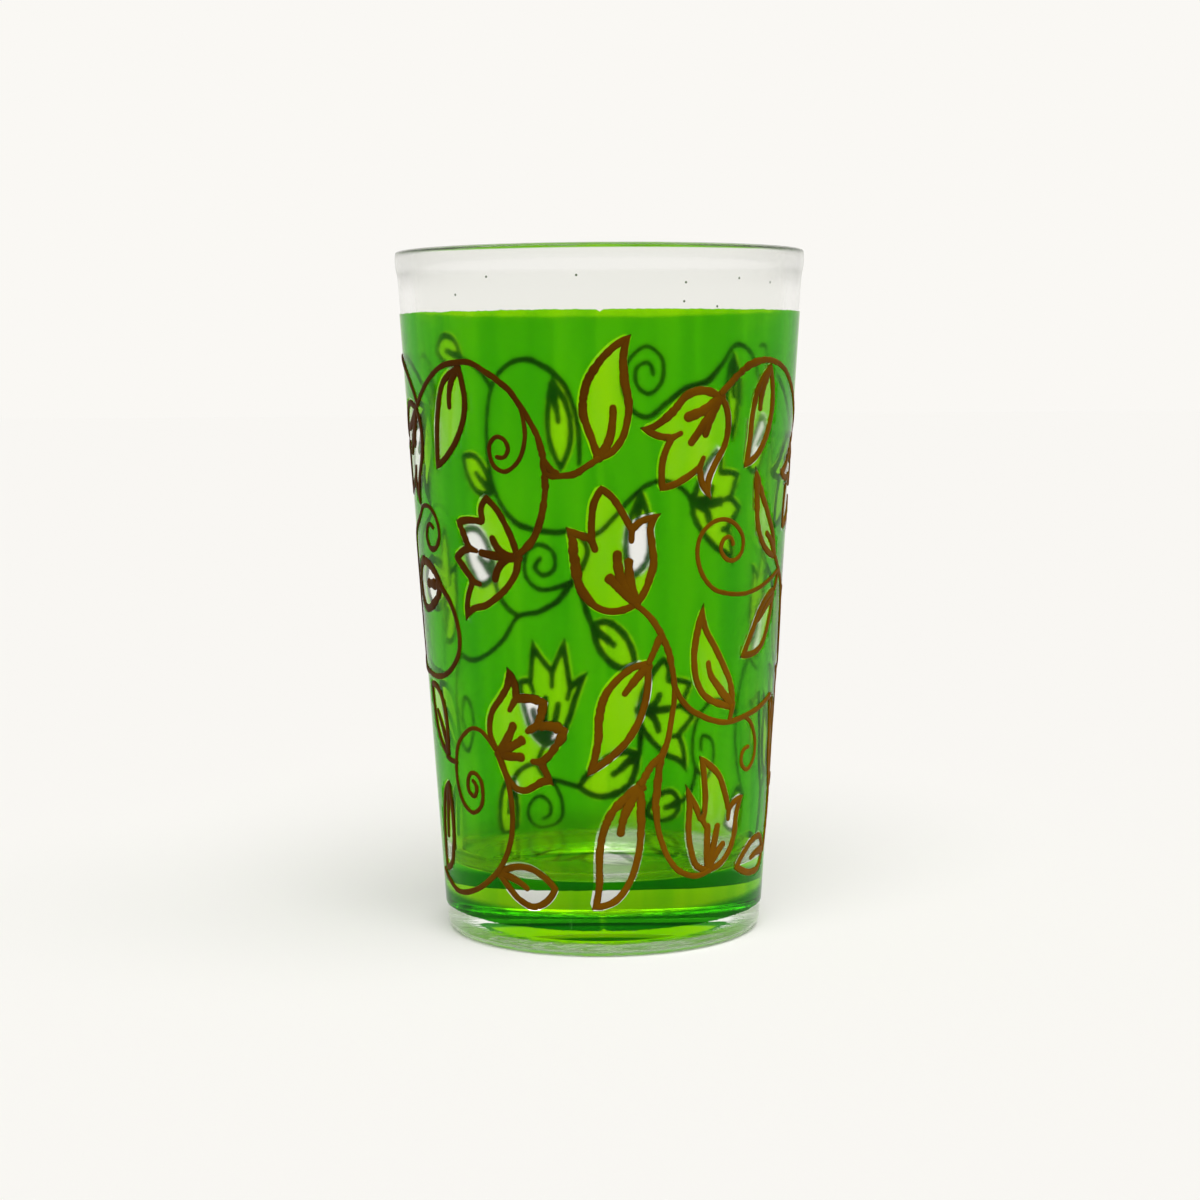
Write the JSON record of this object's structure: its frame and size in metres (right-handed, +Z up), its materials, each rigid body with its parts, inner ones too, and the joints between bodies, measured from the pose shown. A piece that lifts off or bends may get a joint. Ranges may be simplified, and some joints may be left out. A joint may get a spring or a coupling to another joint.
{
  "type": "tea glass",
  "caption": "Tapered clear tea glass with a thick floor and a rim bead, coated in translucent green and printed with a bronze vine of leaves and tulips.",
  "frame": {"origin": "centre of the resting ring, on the plane the glass stands on", "axes": "+Z up along the axis of the glass, -Y out of the side with the upright tulip"},
  "size_m": [0.054, 0.054, 0.09],
  "materials": {
    "clear_glass": "clear, fire-polished",
    "green_lacquer": "translucent gloss lacquer",
    "bronze_ink": "satin bronze-brown ink"
  },
  "bodies": {
    "root": {"glass_body": "clear_glass", "green_coat": "green_lacquer", "vine_stems": "bronze_ink", "tendril_curls": "bronze_ink", "leaf_outlines": "bronze_ink", "leaf_veins": "bronze_ink", "tulip_outlines": "bronze_ink", "tulip_stamens": "bronze_ink"}
  },
  "joints": []
}
